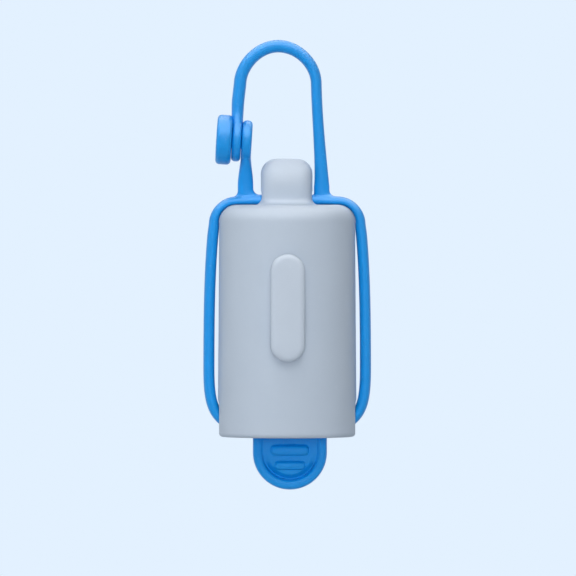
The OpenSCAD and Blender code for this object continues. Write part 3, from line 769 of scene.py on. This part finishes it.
def ridge(face, drop, share):
    """A bar on a face of the panel: flat superellipses along X, whose size falls from the middle
    to both blunt ends as the cube root of 1 less the eighth power of the place."""
    along = np.sin(np.linspace(-np.pi / 2, np.pi / 2, 24))[:, None]
    size = (1 - along ** 8) ** (1 / 3)
    outline = superellipse(ridge_w * share / 2 * size, ridge_rise * size, ridge_square, 32)
    x = tab_x + ridge_len * share / 2 * along + 0 * outline[..., 0]
    y = face * tab_panel_t / 2 + outline[..., 1]
    return shell(np.stack([x, y, base - drop + outline[..., 0]], axis=-1))


ridges = [ridge(face, drop, share) for face in (-1, 1) for drop, share in ridge_rows]
rim = band(tab_line(), tab_rim_w, tab_rim_t, square=tab_rim_square)
tab = rounded_off(skin("tab", rim, tab_panel(), *ridges), band_grain, tab_passes)
tab = made_piece("tab_tongue", tab, blue_silicone)
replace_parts(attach(tab, "plug"), "pull_tab")


# Roll of bags
# The refill: bags of thin polythene film wound on a card tube. The turns show as fine rings on
# its ends, and the outermost one laps over the next with its free edge.

roll_low, roll_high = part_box("bag_roll")
core_r, core_t, core_bevel, core_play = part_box("roll_core")[1].x, 0.001, 0.0002, 0.00006
roll_r, roll_mid = roll_high.x, (roll_low.z + roll_high.z) / 2
roll_half, roll_edge = (roll_high.z - roll_low.z) / 2, 0.0003
turn_pitch, turn_depth, lap_t, sag = 0.0011, 0.00012, 0.00035, 0.00006


def wound_film():
    """Turned about Z. The ends are flat rings that ripple with the turns as a sine does, and the
    outside winds in by one lap over a whole turn and is drawn a little flat in places."""
    angle = 2 * np.pi * np.arange(240) / 240
    end_r = np.linspace(core_r + core_play, roll_r - roll_edge, 60)
    ripple = turn_depth * (1 + np.sin(end_r * 2 * np.pi / turn_pitch))
    radius = np.concatenate([end_r, np.full(30, roll_r), end_r[::-1], [core_r + core_play]])
    side = np.linspace(roll_edge - roll_half, roll_half - roll_edge, 30)
    height = np.concatenate([ripple - roll_half, side, roll_half - ripple[::-1],
                             [ripple[0] - roll_half]])
    outer = (radius >= roll_r - 1e-9)[:, None]
    lap = lap_t * angle / (2 * np.pi) + sag * (1 + np.sin(7 * angle + 900 * height[:, None]))
    r = radius[:, None] - outer * lap
    z = (roll_mid + height)[:, None] + 0 * r
    points, faces = shell(np.stack([r * np.cos(angle), r * np.sin(angle), z], axis=-1))
    return points, faces[:-2]


film = Finish("bag_film", IOR=1.5, Sheen_Weight=0.1)
stretched = film.node("Mapping", {}, {"Vector": film.place, "Scale": (1, 1, 0.15)})
crease = film.node("TexNoise", {}, {"Vector": stretched, "Scale": 900, "Detail": 4.0})
film.feed(Base_Color=film.colours(crease, srgb(128, 190, 150), srgb(156, 208, 172)),
          Roughness=0.32 + 0.25 * crease)
film.relief(crease, 0.00015)
roll = made_piece("wound_bags", skin("roll", wound_film()), film)
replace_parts(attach(roll, "roll"), "bag_roll")

card = Finish("brown_card", IOR=1.5, Roughness=0.85)
fibre = card.noise(0.0004, detail=5.0)
card.feed(Base_Color=card.colours(fibre, srgb(201, 180, 143), srgb(219, 201, 168)))
card.relief(fibre, 0.00008)
bore_r, tube_half = core_r - core_t, roll_half - core_bevel
core_profile = np.array([(core_r, -tube_half), (core_r, tube_half),
                         (core_r - core_bevel, roll_half), (bore_r + core_bevel, roll_half),
                         (bore_r, tube_half), (bore_r, -tube_half),
                         (bore_r + core_bevel, -roll_half), (core_r - core_bevel, -roll_half),
                         (core_r, -tube_half)]) + (0, roll_mid)
core_points, core_faces = turned(core_profile, 96)
core = made_piece("card_core", skin("core", (core_points, core_faces[:-2])), card)
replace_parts(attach(core, "roll"), "roll_core")


# Leading bag
# The next bag, a thin polythene film gathered to pass the slot. It leaves the back of the roll
# and shows a short torn end outside.

half_film_w, half_film_t = (film_high.z - film_low.z) / 2, 0.00014
fold_depth, narrowing = 0.00042, 0.04


def gathered_film():
    """A thin sheet along X whose width stands along Z, in soft folds, two sines across it, that
    deepen towards the slot, with an uneven free end."""
    across = np.linspace(-1, 1, 90)
    along = np.linspace(0, 1, 50)[:, None]
    torn = 0.0006 * np.sin(9 * across) ** 2 + 0.0003 * np.sin(31 * across + 1) ** 2
    x = film_low.x + (film_high.x - film_low.x - torn) * along
    fold = np.sin(11 * across + 2 * along) + 0.5 * np.sin(23 * across - 3 * along + 1)
    y = film_y + fold_depth * ease(1.6 * along) * fold
    z = film_z + half_film_w * across * (1 - narrowing * along) + 0 * x
    front = np.stack([x, y - half_film_t, z], axis=-1)
    back = np.stack([x, y + half_film_t, z], axis=-1)
    return shell(np.concatenate([front, back[:, ::-1]], axis=1))


bag = made_piece("leading_bag_film", skin("bag", gathered_film()), film)
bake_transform(bag)
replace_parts(bag, "leading_bag")


# Studio
# A plain pale floor well under the hanging object and soft lights from both sides, the front,
# above and behind, with a wide one overhead that only shines in the skins. The camera stands
# far off and nearly level.

paper, white = srgb(227, 241, 255), (1, 1, 1, 1)
picture_w, distance, elevation = 0.1694, 2.5, math.radians(0.65)
target = Vector((0.00024, 0, base + 0.0437))
floor_z, floor_half = base - 0.09, 1.6
shadow_from, shadow_to, shadow_share = 0.2, 0.5, 0.45


def softbox(name, place, size, power, lights=True, shines=False):
    """A square area light that looks at the object. It may light matt surfaces, shine in smooth
    ones, or both."""
    lamp = bpy.data.lights.new(name, "AREA")
    lamp.size, lamp.energy = size, power
    holder = bpy.data.objects.new(name, lamp)
    holder.location, holder.visible_diffuse, holder.visible_glossy = place, lights, shines
    holder.rotation_euler = (target - Vector(place)).to_track_quat("-Z", "Y").to_euler()
    bpy.context.scene.collection.objects.link(holder)


def show(graph, output, seen, lit):
    """Ends a graph in a mix of two shaders, so that cameras, reflections and glass see the first
    one and all other rays the second."""
    camera_ray, glossy_ray, transmission_ray = (
        graph.node("LightPath", output=f"Is {kind} Ray")
        for kind in ("Camera", "Glossy", "Transmission"))
    plain = camera_ray + glossy_ray + transmission_ray
    mixed = graph.node("MixShader", {}, {0: plain, 1: lit, 2: seen})
    graph.tree.links.new(mixed.socket, graph.tree.nodes[output].inputs["Surface"])


world = bpy.data.worlds.new("pale_surroundings")
bpy.context.scene.world = world
sky = Graph(world)
show(sky, "World Output", sky.node("Background", {}, {"Color": paper}),
     sky.node("Background", {}, {"Color": white, "Strength": 0.06}))

corners = [(-floor_half, -floor_half, floor_z), (floor_half, -floor_half, floor_z),
           (floor_half, floor_half, floor_z), (-floor_half, floor_half, floor_z)]
floor_mesh = bpy.data.meshes.new("floor")
floor_mesh.from_pydata(corners, [], [(0, 1, 2, 3)])
ground = Finish("pale_floor", Base_Color=paper, Roughness=0.9)
glow = ground.node("Emission", {}, {"Color": paper})
from_middle = ground.node("VectorMath", {"operation": "LENGTH"}, {0: ground.place}, output="Value")
fade = ground.node("MapRange", {"interpolation_type": "SMOOTHSTEP"},
                   {"Value": from_middle, "From Min": shadow_from, "From Max": shadow_to,
                    "To Min": shadow_share, "To Max": 1.0})
veil = ground.node("MixShader", {}, {0: fade, 1: Wire(ground, ground.shader.outputs[0]), 2: glow})
from_below = ground.node("NewGeometry", output="Backfacing")
clear = ground.node("BsdfTransparent")
from_above = ground.node("MixShader", {}, {0: from_below, 1: veil, 2: clear})
dim = ground.node("BsdfDiffuse", {}, {"Color": (0.5, 0.52, 0.55, 1)})
show(ground, "Material Output", from_above, dim)
floor = made_piece("floor", floor_mesh, ground)

softbox("left_light", (-1.2, -0.2, 0.2), 0.7, 5.0)
softbox("right_light", (1.2, -0.5, 0.2), 0.7, 1.6)
softbox("front_light", (0.0, -1.3, -0.03), 0.35, 6.3)
softbox("high_light", (0.0, -1.1, 0.7), 0.8, 5.6)
softbox("top_light", (-0.1, -0.25, 1.0), 0.7, 2.9)
softbox("top_shine", (0.0, -0.2, 1.15), 3.0, 130.0, lights=False, shines=True)
softbox("back_light", (0.3, 1.1, 0.5), 0.7, 9.0)

camera = bpy.data.objects.new("camera", bpy.data.cameras.new("camera"))
camera.data.sensor_width = 36
camera.data.lens = camera.data.sensor_width * distance / picture_w
camera.location = target + distance * Vector((0, -math.cos(elevation), math.sin(elevation)))
camera.rotation_euler = (target - camera.location).to_track_quat("-Z", "Y").to_euler()
bpy.context.scene.collection.objects.link(camera)
bpy.context.scene.camera = camera
bpy.context.scene.view_settings.view_transform = "Standard"
